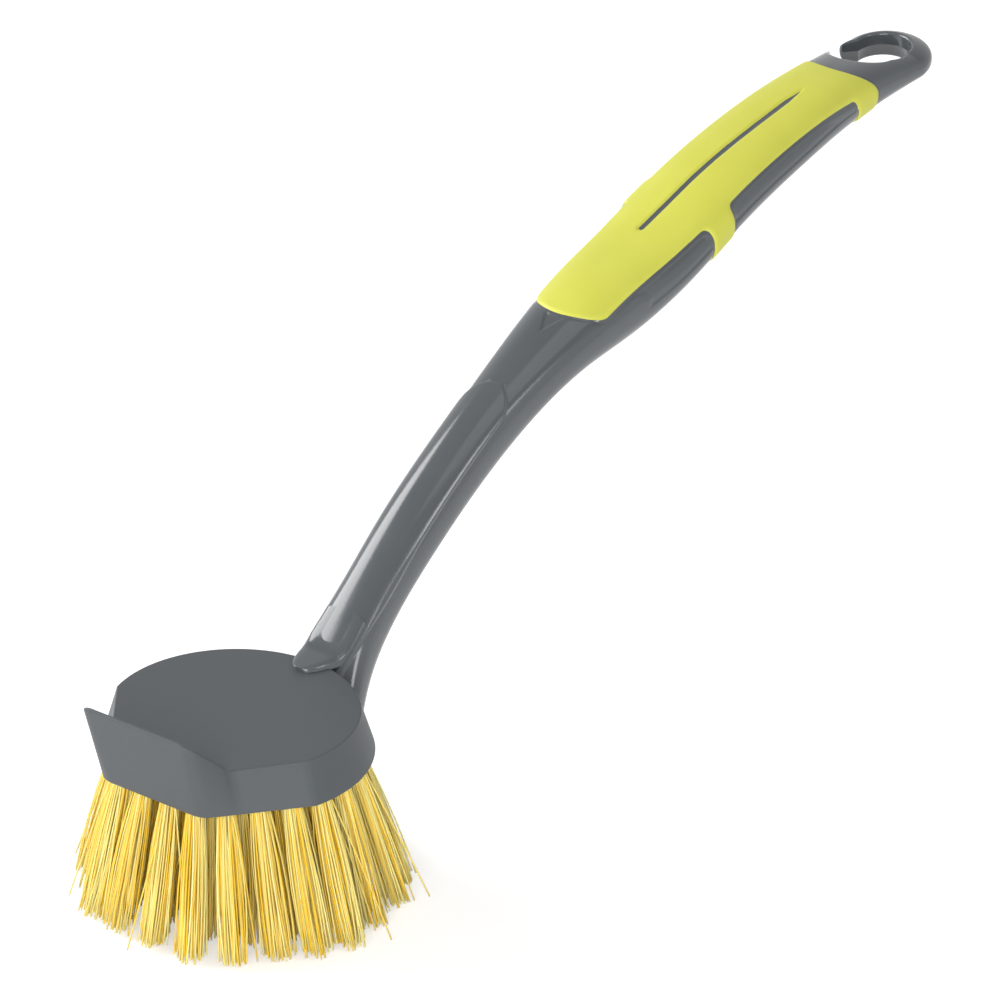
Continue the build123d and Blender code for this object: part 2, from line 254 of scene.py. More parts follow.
def distance_at(x):
    """The distance along the route that lies over x, read back from a fine table."""
    return np.interp(x, table_x, table_distance)


handle_length = float(distance_at(ring_x))
print("route length", round(handle_length, 1))

# %% [markdown]
# ## The handle's sections
# The handle swells in the hand and thins at the neck. A maker would give a few sections and let a
# spline pass through them. A natural cubic spline does that: it is the smoothest curve through the
# stations, found by solving one small set of equations for the curvature at each of them.

# %% Stations along the handle
half_width_largest = 13.4
half_depth_largest = 7.9
sag_largest = 2.3
section_power = 2.5
station_shares = np.array([
    # along the route, half width, half depth, sag
    (0.000, 0.895, 0.710, 0.00),
    (0.030, 0.715, 0.760, 0.00),
    (0.056, 0.600, 0.785, 0.00),
    (0.085, 0.530, 0.790, 0.00),
    (0.184, 0.525, 0.760, -0.11),
    (0.321, 0.555, 0.800, -0.11),
    (0.444, 0.745, 0.860, 0.04),
    (0.509, 0.880, 1.000, 0.52),
    (0.577, 1.000, 0.875, 0.70),
    (0.688, 0.985, 0.800, -0.04),
    (0.799, 0.940, 0.720, -0.30),
    (0.902, 0.805, 0.735, 0.13),
    (1.000, 0.830, 0.495, 1.00),
])


def natural_spline(knots, values, at):
    """Cubic spline through the knots: on each span it is the line between the two values plus the
    curvature terms ((t^3 - t) times the curvature at each end) times the span squared over six."""
    span = np.diff(knots)
    size = len(knots)
    system = np.eye(size)
    rows = np.arange(1, size - 1)
    system[rows, rows - 1] = span[:-1] / 6
    system[rows, rows] = (span[:-1] + span[1:]) / 3
    system[rows, rows + 1] = span[1:] / 6
    slope = np.diff(values) / span
    curvature = np.linalg.solve(system, np.concatenate([[0], np.diff(slope), [0]]))
    index = np.clip(np.searchsorted(knots, at) - 1, 0, size - 2)
    t = (at - knots[index]) / span[index]
    straight = values[index] * (1 - t) + values[index + 1] * t
    bend = ((1 - t) ** 3 - (1 - t)) * curvature[index] + (t**3 - t) * curvature[index + 1]
    return straight + bend * span[index] ** 2 / 6


def section(distance):
    """Half width, half depth and sag at a distance, from the splines through the stations."""
    along = np.clip(distance / handle_length, 0, 1)
    columns = station_shares.T
    width, depth, sag = (natural_spline(columns[0], columns[k], along) for k in (1, 2, 3))
    return width * half_width_largest, depth * half_depth_largest, sag * sag_largest


print("widest half width", round(float(section(np.arange(0, handle_length))[0].max()), 2))

# %% [markdown]
# ## A rounded oval
# The section is neither an ellipse nor a box. A superellipse lies between them: |x|^n + |y|^n = 1 with
# n = 2.5. In polar form its reach at an angle is (|cos|^n + |sin|^n)^(-1/n), which is smooth all round.


# %% The handle's surface as a function of distance and turn
def handle_surface(distance, turn, height=0.0):
    """Point of the handle: the turn goes from the far side over the top. The section's reach is
    (|cos|^n + |sin|^n)^(-1/n), stretched by half width and half depth, lowered by the sag and laid
    square to the route. The height moves the point out along the surface's normal."""
    def base(s, a):
        """The same point with no height."""
        x, z, heading = route(s)
        width, depth, sag = section(s)
        power_sum = np.abs(np.cos(a)) ** section_power + np.abs(np.sin(a)) ** section_power
        reach = power_sum ** (-1 / section_power)
        up = depth * np.sin(a) * reach - sag
        return np.stack([x - up * np.sin(heading), width * np.cos(a) * reach, z + up * np.cos(heading)], -1)

    step = 1e-3
    points = base(distance, turn)
    along = base(distance + step, turn) - base(distance - step, turn)
    around = base(distance, turn + step) - base(distance, turn - step)
    normal = np.cross(around, along)
    normal /= np.linalg.norm(normal, axis=-1, keepdims=True)
    side = np.sign(normal[..., 2:] * np.sin(turn)[..., None] + normal[..., 1:2] * np.cos(turn)[..., None])
    return points + normal * side * np.asarray(height)[..., None]


print("top of the grip", handle_surface(np.array([150.0]), np.array([math.pi / 2]))[0].round(1))

# %% [markdown]
# ## Where the grip lies
# The grip's edge is a drawn line on a curved surface. The handiest way to hold such a line is a signed
# distance: a number for each point that is positive inside the grip and falls to zero at its edge. The
# nose, the two bands, the slot and the round end are each a simple distance, and the grip is made of
# them with minimum and maximum. A soft maximum rounds the corners where a band joins the panel.

# %% Sizes of the grip
nose_x = 116.0
nose_length = 7.4
nose_half_width = 9.7
mid_band_x = 160.8
mid_band_width = 8.3
band_bulge = 1.2
mid_band_slant = 6.0
mid_half_width = 11.3
end_half_width = 10.2
end_band_x = 216.5
grip_end_x = 221.3
grip_end_radius = 15.0
slot_start_x = 148.3
slot_end_x = 209.0
slot_half_width = 0.7
slot_point = 6.0
slot_slant = 0.8
corner_blend = 2.0
far_outside = -9.0


def soft_larger(a, b, blend):
    """Larger of two distances, rounded where they are within blend of each other:
    max(a, b) + max(blend - |a - b|, 0)^2 / (4 blend)."""
    return np.maximum(a, b) + np.maximum(blend - np.abs(a - b), 0) ** 2 / (4 * blend)


def grip_depth(points, distance, turn):
    """How far inside the grip's edge a point of the handle lies, in millimetres, negative outside. The
    nose is half an ellipse: with r the point's share of the way to it, (1 - r) over the slope of r."""
    x, y = points[..., 0], points[..., 1]
    middle = nose_x + nose_length
    places = [middle, mid_band_x, grip_end_x + grip_end_radius / 2]
    half = np.interp(x, places, [nose_half_width, mid_half_width, end_half_width])
    back, side = (x - middle) / nose_length, y / nose_half_width
    reach = np.hypot(back, side) + 1e-6
    nose = (1 - reach) * reach / (np.hypot(back / nose_length, side / nose_half_width) + 1e-6)
    panel = np.where(x < middle, nose, half - np.abs(y))
    panel = np.where(np.sin(turn) > 0, panel, far_outside)
    _, depth, _ = section(distance)
    level = depth * np.sin(turn) / (half_depth_largest * 2)
    lean = band_bulge + mid_band_slant / 2 * level - (mid_band_slant / 2 + band_bulge) * level**2
    band = mid_band_width / 2 - np.abs(distance - distance_at(mid_band_x) - lean)
    end_band = distance - distance_at(end_band_x) - band_bulge * (1 - level**2)
    shape = soft_larger(soft_larger(panel, band, corner_blend), end_band, corner_blend)
    round_end = np.hypot(x - grip_end_x - grip_end_radius, y) - grip_end_radius
    shape = np.minimum(shape, round_end)
    return np.where(np.sin(turn) > 0, np.minimum(shape, slot_distance(x, y)), shape)


def slot_distance(x, y):
    """Distance outside the slot: a round start, straight sides and a long point at its upper end."""
    middle = np.interp(x, [slot_start_x, slot_end_x], [slot_slant, -slot_slant])
    half = np.interp(x, [slot_end_x - slot_point, slot_end_x], [slot_half_width, 0])
    beyond = np.maximum(np.maximum(slot_start_x + slot_half_width - x, x - slot_end_x), 0)
    return np.hypot(y - middle, beyond) - half


behind = nose_x + 5
inside_by = grip_depth(np.array([behind, 0.0, 0.0]), distance_at(behind), np.array(math.pi / 2))
print("edge distance 5 mm behind the nose", inside_by.round(2))

# %% [markdown]
# ## The grip
# One fine grid runs over the handle where the grip lies. Its height over the handle depends only on the
# depth inside the edge: a soft shoulder up to 0.35 mm at the rim, which runs on down into the handle
# just outside it. The two surfaces then cross in a clean line, wherever the grid's own lines run. The
# rows lie closer where an edge runs across them, and further apart where nothing changes.

# %% Height of the grip and its grid
grip_rise = 0.35
grip_rounding = 0.8


def grip_height(depth):
    """Shoulder: rise times 1 - (1 - depth / rounding)^2, which goes on below 0 down to a skirt."""
    inside = np.clip(depth / grip_rounding, -0.6, 1)
    return grip_rise * (1 - (1 - inside) ** 2)


def spaced(places, steps):
    """Distances from each place to the next in steps of the given size."""
    spans = [np.arange(a, b, step) for a, b, step in zip(places[:-1], places[1:], steps)]
    return np.concatenate(spans + [places[-1:]])


changes = [nose_x - 2, nose_x + 9, mid_band_x - 8, mid_band_x + 8, end_band_x - 3, grip_end_x + 7]
rows_at = distance_at(np.array(changes))
row_steps = [0.25, 0.6, 0.4, 0.8, 0.3]
grip_s, grip_turn = np.meshgrid(
    spaced(rows_at, row_steps), np.linspace(0, 2 * math.pi, 300, endpoint=False), indexing="ij"
)
grip_base = handle_surface(grip_s, grip_turn)
grip_inside = grip_depth(grip_base, grip_s, grip_turn)
grip_points = handle_surface(grip_s, grip_turn, grip_height(grip_inside))
quads = grid_quads(*grip_s.shape, wrap=True)
quads = quads[(grip_inside.ravel()[quads] > -0.48).any(axis=1)]
grip = make_piece("soft_grip", grip_points.reshape(-1, 3), quads[:, ::-1], material=lime_grip)
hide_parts("grip")

# %% [markdown]
# ## The shaft
# The grey shaft is the same surface without the grip's height. It carries small steps of its own: the
# raised tongue on the neck, the shallow leaf below the grip's nose, a fine groove along the grip's edge
# and a bed under the grip, which keeps the two skins apart.

# %% Steps on the shaft
tongue_half_width = 6.3
tongue_end_x = 93.7
tongue_rise = 0.6
leaf_tip_x = 109.8
leaf_half_width = 3.0
leaf_depth = 0.35
groove_depth = 0.14
bed_depth = 0.9


def smooth_step(value, low, high):
    """0 below low, 1 above high and t^2 (3 - 2t) between."""
    t = np.clip((value - low) / (high - low), 0, 1)
    return t * t * (3 - 2 * t)


def shaft_height(points, distance, turn):
    """Sum of the steps: tongue up, leaf down, groove down, bed under the grip down."""
    x, y = points[..., 0], points[..., 1]
    top = np.sin(turn) > 0
    round_x = tongue_end_x - tongue_half_width
    tongue = tongue_half_width - np.where(x > round_x, np.hypot(x - round_x, y), np.abs(y))
    height = tongue_rise * smooth_step(tongue, -0.15, 0.3) * top
    leaf = (x - leaf_tip_x) / (nose_x - leaf_tip_x) * leaf_half_width - np.abs(y)
    depth = grip_depth(points, distance, turn)
    height -= leaf_depth * smooth_step(leaf, -0.05, 0.35) * top * smooth_step(-depth, 0.5, 1.1)
    height -= groove_depth * np.exp(-(((depth + 0.4) / 0.3) ** 2))
    return height - bed_depth * smooth_step(depth, 0.15, 0.7)


# %% The shaft's grid
rows_at = np.append(0, distance_at(np.array([80, 96, 108, 127, 152, 169, 213, grip_end_x + 1])))
row_steps = [0.9, 0.35, 0.8, 0.3, 0.8, 0.4, 0.8, 0.35]
shaft_s, shaft_turn = np.meshgrid(
    spaced(rows_at, row_steps), np.linspace(0, 2 * math.pi, 260, endpoint=False), indexing="ij"
)
shaft_base = handle_surface(shaft_s, shaft_turn)
steps = shaft_height(shaft_base, shaft_s, shaft_turn)
shaft_points = handle_surface(shaft_s, shaft_turn, steps).reshape(-1, 3)
quads = grid_quads(*shaft_s.shape, wrap=True)[:, ::-1]
ends = np.stack([shaft_points[: shaft_s.shape[1]].mean(0), shaft_points[-shaft_s.shape[1] :].mean(0)])
first_ring = np.arange(shaft_s.shape[1])
last_ring = first_ring + (shaft_s.shape[0] - 1) * shaft_s.shape[1]
count = len(shaft_points)
triangles = np.concatenate([fan(first_ring, count), fan(last_ring[::-1], count + 1)])
shaft_points = np.concatenate([shaft_points, ends])
shaft = make_piece("handle_shaft", shaft_points, quads, triangles, material=grey_plastic)
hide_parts("handle_body")

# %% [markdown]
# ## The hanging hook
# The handle ends in a ring that is open on its far side, so that it hooks over a rail. Seen from a
# point inside the opening, each direction meets the opening's wall first and the outer rim last. So the
# hook is a grid of directions by steps outward, over the top, back under the bottom and up the wall.

# %% The opening as seen from inside
hole_offset, hole_radius = 0.8, 6.8
straight_back, back_reach, back_offset = 6.0, 14.3, 2.0
prong_tip = np.array([-9.2, 9.2])
free_end_slope, free_end_back = 1.1, 0.5
loop_start = -23.0
seen_from = np.array([-4.0, 1.0])


def bezier(a, b, c, d):
    """(1-t)^3 a + 3t(1-t)^2 b + 3t^2(1-t) c + t^3 d for t from 0 to 1."""
    t = np.linspace(0, 1, 40)[:, None]
    return (1 - t) ** 3 * a + 3 * t * (1 - t) ** 2 * b + 3 * t**2 * (1 - t) * c + t**3 * d


near_side = hole_offset - hole_radius
free_end = np.array([-free_end_back, hole_offset + math.sqrt(hole_radius**2 - free_end_back**2)])
straight_end, back_place = np.array([-straight_back, near_side]), np.array([-back_reach, back_offset])
turn = np.linspace(math.atan2(free_end[1] - hole_offset, free_end[0]), -math.pi / 2, 80)
opening = np.concatenate([
    free_end + np.array([-free_end_slope, 1]) * np.linspace(6, 0, 20)[:, None],
    np.stack([hole_radius * np.cos(turn), hole_offset + hole_radius * np.sin(turn)], -1),
    bezier(straight_end, straight_end - [4.8, 0], back_place - [0, 4.4], back_place),
    bezier(back_place, back_place + [0, 3.6], prong_tip - [2.2, 1.3], prong_tip),
    prong_tip + np.array([0.1, 1]) * np.linspace(0, 6, 20)[:, None],
])
seen = opening - seen_from
opening_angle = np.unwrap(np.arctan2(seen[:, 1], seen[:, 0]))
opening_reach = np.hypot(seen[:, 0], seen[:, 1])
print("opening from and to", np.degrees(opening_angle[[0, -1]]).round(), "degrees")


# %% Places on the hook
def loop_section(forward, across):
    """Half depth and sag at a place in the hook's plan, and its share of the way out to the rim. Behind
    the ring's middle the share is |across| / half width, and ahead of it the distance / half width."""
    width, depth, sag = section(handle_length + np.minimum(forward, 0))
    out = np.where(forward < 0, np.abs(across), np.hypot(forward, across))
    share = np.clip(out / width, 0, 1)
    return depth * (1 - share**section_power) ** (1 / section_power), sag, share


def loop_point(forward, across, up):
    """Lays a place in the hook's plan on the route, with the height up square to it."""
    x, z, heading = route(handle_length + np.minimum(forward, 0))
    ahead = np.maximum(forward, 0)
    sine, cosine = np.sin(heading), np.cos(heading)
    return np.stack([x + ahead * cosine - up * sine, across, z + ahead * sine + up * cosine], -1)


def laid(reach, directions):
    """Forward and across from the point inside: reach times cosine and sine of the direction."""
    return seen_from[0] + reach * np.cos(directions), seen_from[1] + reach * np.sin(directions)


fine_count = 2400
directions = np.linspace(opening_angle[-1], opening_angle[0], fine_count)
inner_reach = np.interp(directions, opening_angle[::-1], opening_reach[::-1])
low, high = np.zeros(fine_count), np.full(fine_count, 60.0)
for _ in range(40):
    reach = (low + high) / 2
    forward, across = laid(reach, directions)
    inside = (loop_section(forward, across)[2] < 1) & (forward > loop_start)
    low, high = np.where(inside, reach, low), np.where(inside, high, reach)
rim_reach = (low + high) / 2
thinnest = 0.9
solid = rim_reach - inner_reach > thinnest
first, last = directions[solid][0], directions[solid][-1]
print("hook from", round(math.degrees(first)), "to", round(math.degrees(last)), "degrees")

# %% The hook's grid
spread = np.linspace(0, 1, 300)
chosen = first + (last - first) * (spread - 0.13 / math.pi * np.sin(2 * math.pi * spread))
inner_reach = np.interp(chosen, directions, inner_reach)[:, None]
rim_reach = np.interp(chosen, directions, rim_reach)[:, None]
directions = chosen[:, None]
edge_rounding = np.minimum(0.9, 0.42 * (rim_reach - inner_reach))
steps = 1 - (1 - np.linspace(0, 1, 34)) ** 2.2
reach = inner_reach + edge_rounding + (rim_reach - inner_reach - edge_rounding) * steps
forward, across = laid(reach, directions)
half_depth, sag, _ = loop_section(forward, across)
over = loop_point(forward, across, half_depth - sag)
under = loop_point(forward, across, -half_depth - sag)
bend = np.linspace(0, math.pi / 2, 5)[1:]
wall_forward, wall_across = laid(inner_reach + edge_rounding * (1 - np.sin(bend)), directions)
wall_drop = edge_rounding * (1 - np.cos(bend))
inner_depth, inner_sag, _ = loop_section(wall_forward, wall_across)
wall_drop = np.minimum(wall_drop, inner_depth * 0.9)
wall_top = loop_point(wall_forward, wall_across, inner_depth - inner_sag - wall_drop)
wall_bottom = loop_point(wall_forward, wall_across, -inner_depth - inner_sag + wall_drop)
seam_forward, seam_across = laid(inner_reach - np.array([0, 0.14, 0]), directions)
seam = loop_point(seam_forward, seam_across, np.array([-0.2, 0.0, 0.2]) - inner_sag[:, -1:])
loop_points = np.concatenate([seam, wall_top[:, ::-1], over, under[:, ::-1][:, 1:], wall_bottom], axis=1)
rows, columns = loop_points.shape[:2]
quads = grid_quads(rows, columns, wrap=True)
flat = loop_points.reshape(-1, 3)
ring = np.arange(columns)
ends = np.stack([flat[:columns].mean(0), flat[-columns:].mean(0)])
triangles = np.concatenate([fan(ring[::-1], len(flat)), fan(ring + (rows - 1) * columns, len(flat) + 1)])
make_piece("hanging_hook", np.concatenate([flat, ends]), quads, triangles, material=grey_plastic)

# %% [markdown]
# ## The head
# The head is a round plate with a sloping wall and a straight front whose wall runs on upward as the
# scraper lip. It is one profile carried round an outline: from the middle of the underside out to the
# edge, up the wall, over the rim or the lip's edge, down the inside and back to the middle of the top.
# The outline is a round, two straight sides and a front, with a soft fold at each front corner.

# %% The outline
fold = 2.6
arc_count, side_count, wing_count, fold_count, front_count = 150, 10, 10, 9, 24


def outline(radius, corner, turn, join, level):
    """Points round the head at one level, far side first: the round from the far join to the near one,
    the near side with its turn, a fold, the front, the other fold and the far side. A fold is the curve
    (1-t)^2 a + 2t(1-t) corner + t^2 b between a and b, which lie one fold's length from the corner."""
    corner, turn, join = (np.asarray(place, float) * [1, -1] for place in (corner, turn, join))
    angle = math.atan2(-join[1], join[0])
    around = np.linspace(angle, -angle, arc_count)
    arc = np.stack([np.cos(around), np.sin(around)], -1) * radius
    toward = (turn - corner) / np.linalg.norm(turn - corner)
    entry, leave = corner + toward * fold, corner + np.array([0, fold])
    side = join + (turn - join) * np.linspace(0, 1, side_count + 1)[1:, None]
    wing = turn + (entry - turn) * np.linspace(0, 1, wing_count + 1)[1:, None]
    t = np.linspace(0, 1, fold_count + 2)[1:-1, None]
    bend = (1 - t) ** 2 * entry + 2 * t * (1 - t) * corner + t**2 * leave
    front = leave + (leave * [1, -1] - leave) * np.linspace(0, 1, front_count)[:, None]
    near = np.concatenate([side, wing, bend])
    plan = np.concatenate([arc, near, front, near[::-1] * [1, -1]])
    return np.column_stack([plan, np.broadcast_to(level, len(plan))])


def corner_at(level):
    """The front corner leans forward and flares outward evenly with height."""
    share = (level - underside) / (lip_top - underside)
    return np.array([-front_reach - lip_lean * share, front_half_width + lip_flare * share])


def side_join(radius):
    """Where the round meets the flat side: radius times cosine and sine of the join's angle."""
    return radius * np.array([math.cos(side_join_angle), math.sin(side_join_angle)])


turn_low = corner_at(underside) + (side_join(underside_radius) - corner_at(underside)) * side_turn_share
turn_high = np.array([-wing_reach, wing_half_width])
bottom_edge = outline(underside_radius, corner_at(underside), turn_low, side_join(underside_radius), underside)
print("outline points", len(bottom_edge))

# %% [markdown]
# The wall rises from the lower outline to the upper edge. On the round and the flat sides that edge is
# the plate's rim. From the turn it climbs in a straight line to the lip's peak, and stays there along
# the front.

# %% The upper edge and the inside of the lip
lip_thickness_foot, lip_thickness_edge, wing_thickness, rim_width = 2.2, 0.9, 1.1, 0.7
wing_line = (turn_high - corner_at(lip_top)) / np.linalg.norm(turn_high - corner_at(lip_top))
wing_inward = np.array([wing_line[1], -wing_line[0]])


turn_inward = np.array([0.3, -1.0])


def drawn_in(corner, thickness):
    """The corner moved in by the lip's thickness along X and by the wing's thickness across it."""
    inward = wing_inward * wing_thickness
    slope = wing_line[1] / wing_line[0]
    return corner + [thickness, inward[1] + (thickness - inward[0]) * slope]


def lip_edge(inset, peak):
    """The upper edge for an inset, and for each of its points the share of the lip's height."""
    turn = turn_high + turn_inward * inset
    edge = outline(top_radius - inset, peak, turn, side_join(top_radius - inset), plate_top)
    share = np.clip((edge[:, 0] - turn[0]) / (peak[0] - turn[0]), 0, 1)
    edge[:, 2] += (lip_top - plate_top) * share
    return edge, share


outer_top, lip_share = lip_edge(0, corner_at(lip_top))
inner_top, _ = lip_edge(rim_width, drawn_in(corner_at(lip_top), lip_thickness_edge))
foot_width = rim_width + 0.6
foot_radius = top_radius - foot_width
foot_corner = drawn_in(corner_at(plate_top), lip_thickness_foot)
foot_turn = turn_high + turn_inward * foot_width
foot = outline(foot_radius, foot_corner, foot_turn, side_join(foot_radius), plate_top)
print("lip edge height", outer_top[:, 2].max().round(2), "rim height", outer_top[0, 2])

# %% The profile's rows
def blend_rows(start, end, shares):
    """Rows between two outlines: start + (end - start) * share for each share."""
    return start + (end - start) * np.asarray(shares)[:, None, None]


def over_edge(outer, inner, rounding, lip):
    """A rounded edge between two outlines: their middle plus half their gap times cos a, lowered by
    rounding times 1 - sin a. Where there is no lip the second half stays level, as on a plain rim."""
    a = np.linspace(0, math.pi, 9)[:, None, None]
    rows = (outer + inner) / 2 + (outer - inner) / 2 * np.cos(a)
    fall = rounding * (1 - np.sin(a[..., 0])) * np.where(a[..., 0] > math.pi / 2, lip, 1)
    rows[..., 2] -= fall
    return rows


lip = np.clip(lip_share * 6, 0, 1)
lip_edge_drop = 0.35
edge_drop = rim_width + (lip_edge_drop - rim_width) * lip
rim = over_edge(outer_top, inner_top, edge_drop, lip)
wall = blend_rows(bottom_edge, rim[0], [0.02, 0.04, 0.1, 0.25, 0.5, 0.75, 0.9, 0.97])
inside = blend_rows(rim[-1], foot, [0.1, 0.5, 0.9, 1.0])
bottom_middle, top_middle = np.array([0, 0, underside]), np.array([0, 0, plate_top])
below = blend_rows(np.broadcast_to(bottom_middle, bottom_edge.shape), bottom_edge, [0.3, 0.7, 0.95, 0.99])
plate_rows = blend_rows(foot, np.broadcast_to(top_middle, foot.shape), [0.02, 0.08, 0.4, 0.8])
head_rows = np.concatenate([below, wall, rim, inside, plate_rows])
rows, columns = head_rows.shape[:2]
flat = head_rows.reshape(-1, 3)
quads = grid_quads(rows, columns, wrap=True)
ring = np.arange(columns)
triangles = np.concatenate([fan(ring[::-1], len(flat)), fan(ring + (rows - 1) * columns, len(flat) + 1)])
head_points = np.concatenate([flat, [bottom_middle, top_middle]])
make_piece("head_plate", head_points, quads, triangles, material=grey_matt)

# %% [markdown]
# ## The toe of the tongue
# The tongue runs down the neck and ends in a low pointed toe on the plate. Its top is a soft larger of
# two lines: the toe's own, nearly level, and the neck's top line just below the shaft's skin. The bend
# between them is the bright hollow that shows on the real brush.

# %% The toe
toe_tip_x, toe_length, toe_rise = 22.4, 17.0, 1.1
line_s = np.linspace(0, 40, 200)
line = handle_surface(line_s, np.full(200, math.pi / 2), np.full(200, tongue_rise))
along, across = np.meshgrid(np.linspace(0, 1, 60) ** 1.5, np.linspace(-1, 1, 31), indexing="ij")
toe_x = toe_tip_x + toe_length * along
half = tongue_half_width * np.clip((toe_x - toe_tip_x) / 12, 1e-5, 1) ** 0.38
top = toe_rise + 0.05 * (toe_x - toe_tip_x)
toe_top = soft_larger(plate_top + top, np.interp(toe_x, line[:, 0], line[:, 2]) - 0.25, 2.4)
crown = (1 - np.abs(across) ** 5) ** (1 / 5)
low = plate_top - 0.4
toe_points = np.stack([toe_x, half * across, low + (toe_top - low) * crown], -1)
quads = grid_quads(60, 31)
flat = toe_points.reshape(-1, 3)
triangles = fan(np.arange(31), len(flat))[:-1]
toe_points = np.concatenate([flat, [flat[:31].mean(0)]])
make_piece("tongue_toe", toe_points, quads[:, ::-1], triangles, material=grey_plastic)

# %% [markdown]
# ## The bristles
# A real tuft is one bundle of filaments folded in half into its hole, so it leaves the hole as a tight
# round and fans out towards the cut ends. Each filament is a thin bar along a gently bowed line. The
# frame's own tufts give the place and lean of each bundle, so the fuller ones stay where they are. The
# inner tufts get deeper, more orange colours: painted shade for the light that reaches them through more
# filaments.

# %% One tuft's filaments as arrays
filaments = 88
filament_radius = 0.19
filament_steps = 6
splay = 2.4
outer_ring = 26
root_spread, tip_spread = 1.85, 3.1
stray_share, stray_times = 0.04, 4
random = np.random.default_rng(46)


def tuft_axis(name):
    """Root and tip of a tuft, from the middle of its points inside the head and of those at its ends."""
    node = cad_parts[name]
    points = np.empty(len(node.data.vertices) * 3)
    node.data.vertices.foreach_get("co", points)
    points = points.reshape(-1, 3) / MM
    root, tip = points[points[:, 2] > underside + 0.5].mean(0), points[points[:, 2] < 0.5].mean(0)
    return root, tip + root * [1, 1, 0] * (splay / outer_ring)


def tuft_bars(root, tip):
    """Bars of four sides: the line from root to tip with a bow of sin(pi t) outward, and the corners
    a filament's radius away from it along two directions square to the line."""
    index = np.arange(filaments)
    turn = index * math.pi * (3 - math.sqrt(5)) + random.normal(0, 0.2, filaments)
    spread = np.sqrt((index + 0.5) / filaments)
    disc = np.stack([np.cos(turn) * spread, np.sin(turn) * spread, np.zeros(filaments)], -1)
    lean = np.append(random.normal(0, 0.7, 2), 0)
    start = root + disc * root_spread
    start[:, 2] = underside + 1.0
    loose = random.normal(0, 1, (filaments, 3)) * [0.6, 0.6, 0]
    loose = loose * np.where(random.uniform(0, 1, (filaments, 1)) < stray_share, stray_times, 1)
    end = tip + lean + disc * tip_spread + loose
    end[:, 2] = random.uniform(0.05, 1.3, filaments) + np.abs(random.normal(0, 0.5, filaments))
    t = np.linspace(0, 1, filament_steps)[:, None, None]
    bow = (disc * 0.5 + random.normal(0, 0.35, (filaments, 3)) * [1, 1, 0]) * np.sin(math.pi * t)
    line = start + (end - start) * t + bow
    direction = (end - start) / np.linalg.norm(end - start, axis=1, keepdims=True)
    first = np.cross(direction, [0.3, 1, 0])
    first /= np.linalg.norm(first, axis=1, keepdims=True)
    second = np.cross(direction, first)
    twist = random.uniform(0, math.pi / 2, filaments)[:, None]
    quarters = [twist + k * math.pi / 2 for k in range(4)]
    sides = [first * np.cos(quarter) + second * np.sin(quarter) for quarter in quarters]
    return line[:, :, None, :] + np.stack(sides, 1)[None] * filament_radius


def tuft_faces():
    """For each filament the four sides of each step and the flat cut end."""
    counts = [np.arange(count) for count in (filament_steps - 1, filaments, 4)]
    step, bar, side = np.meshgrid(*counts, indexing="ij")
    here, beyond = (step * filaments + bar) * 4, ((step + 1) * filaments + bar) * 4
    following = (side + 1) % 4
    walls = np.stack([here + side, here + following, beyond + following, beyond + side], -1)
    end = ((filament_steps - 1) * filaments + np.arange(filaments))[:, None] * 4 + np.arange(4)
    return np.concatenate([walls.reshape(-1, 4), end])


print("bars in a tuft", filaments, "faces", len(tuft_faces()))

# %% All tufts
tuft_names = sorted(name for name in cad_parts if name.startswith("tuft_") and name[5:].isdigit())
for name in tuft_names:
    root, tip = tuft_axis(name)
    bars = tuft_bars(root, tip)
    # Painted shade: tufts nearer the head's middle get a lower range of values, so they render darker and more
    # orange.
    painted_inner_shade = smooth_step(np.hypot(root[0], root[1]), 12, 25)
    bars = bars.reshape(-1, 3)
    piece = make_piece("bristles_" + name[5:], bars, tuft_faces(), material=yellow_filament)
    # Each filament's value is random tone plus the painted shade of the inner tufts.
    tone_and_painted_shade = np.repeat(np.tile(random.uniform(0, 0.6 + 0.4 * painted_inner_shade, filaments), filament_steps), 4)
    piece.data.attributes.new("shade", "FLOAT", "POINT").data.foreach_set("value", tone_and_painted_shade.astype(np.float32))
    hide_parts(name)

# %% [markdown]
# ## The anchors
# The flat anchors sit inside the closed holes and don't show. They keep their solid shape and get a
# plain worn metal, so that the exported part has a finish on every node.

# %% Anchor metal
anchor_metal, nodes, links, shader = new_material("anchor_metal")
cloudy = object_noise(nodes, links, 900, 2)
set_colour(nodes, links, shader, cloudy.outputs["Fac"], (0.50, 0.47, 0.40), (0.62, 0.59, 0.53))
shader.inputs["Metallic"].default_value = 1.0
shader.inputs["Roughness"].default_value = 0.4
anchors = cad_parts["tuft_anchors"]
anchors.data.materials.clear()
anchors.data.materials.append(anchor_metal)
print("anchors", len(anchors.data.polygons), "faces")

# %% [markdown]
# ## Floor, light and camera
# The brush stands on a plain white floor. A wide soft lamp on the far side draws the white band along
# the neck's far shoulder, a low one in front fills the scraper and the bristles, a small one on the near
# side adds a streak, and the world gives an even light that dims overhead, as under a dark ceiling.
# The camera has the long lens and the height of a product photograph.

# %% Floor
floor_mesh = bpy.data.meshes.new("floor")
floor_mesh.from_pydata([(-6, -6, 0), (6, -6, 0), (6, 6, 0), (-6, 6, 0)], [], [(0, 1, 2, 3)])
floor = bpy.data.objects.new("floor", floor_mesh)
bpy.context.scene.collection.objects.link(floor)
floor_paint, nodes, links, shader = new_material("floor_paint")
shader.inputs["Base Color"].default_value = (0.82, 0.82, 0.82, 1)
shader.inputs["Roughness"].default_value = 1.0
shader.inputs["Specular IOR Level"].default_value = 0.0
rays = nodes.new("ShaderNodeLightPath")
seen = nodes.new("ShaderNodeMath")
seen.operation = "MAXIMUM"
links.new(rays.outputs["Is Camera Ray"], seen.inputs[0])
links.new(rays.outputs["Is Glossy Ray"], seen.inputs[1])
lift = nodes.new("ShaderNodeMath")
lift.operation = "MULTIPLY"
lift.inputs[1].default_value = 0.5
links.new(seen.outputs[0], lift.inputs[0])
shader.inputs["Emission Color"].default_value = (1, 1, 1, 1)
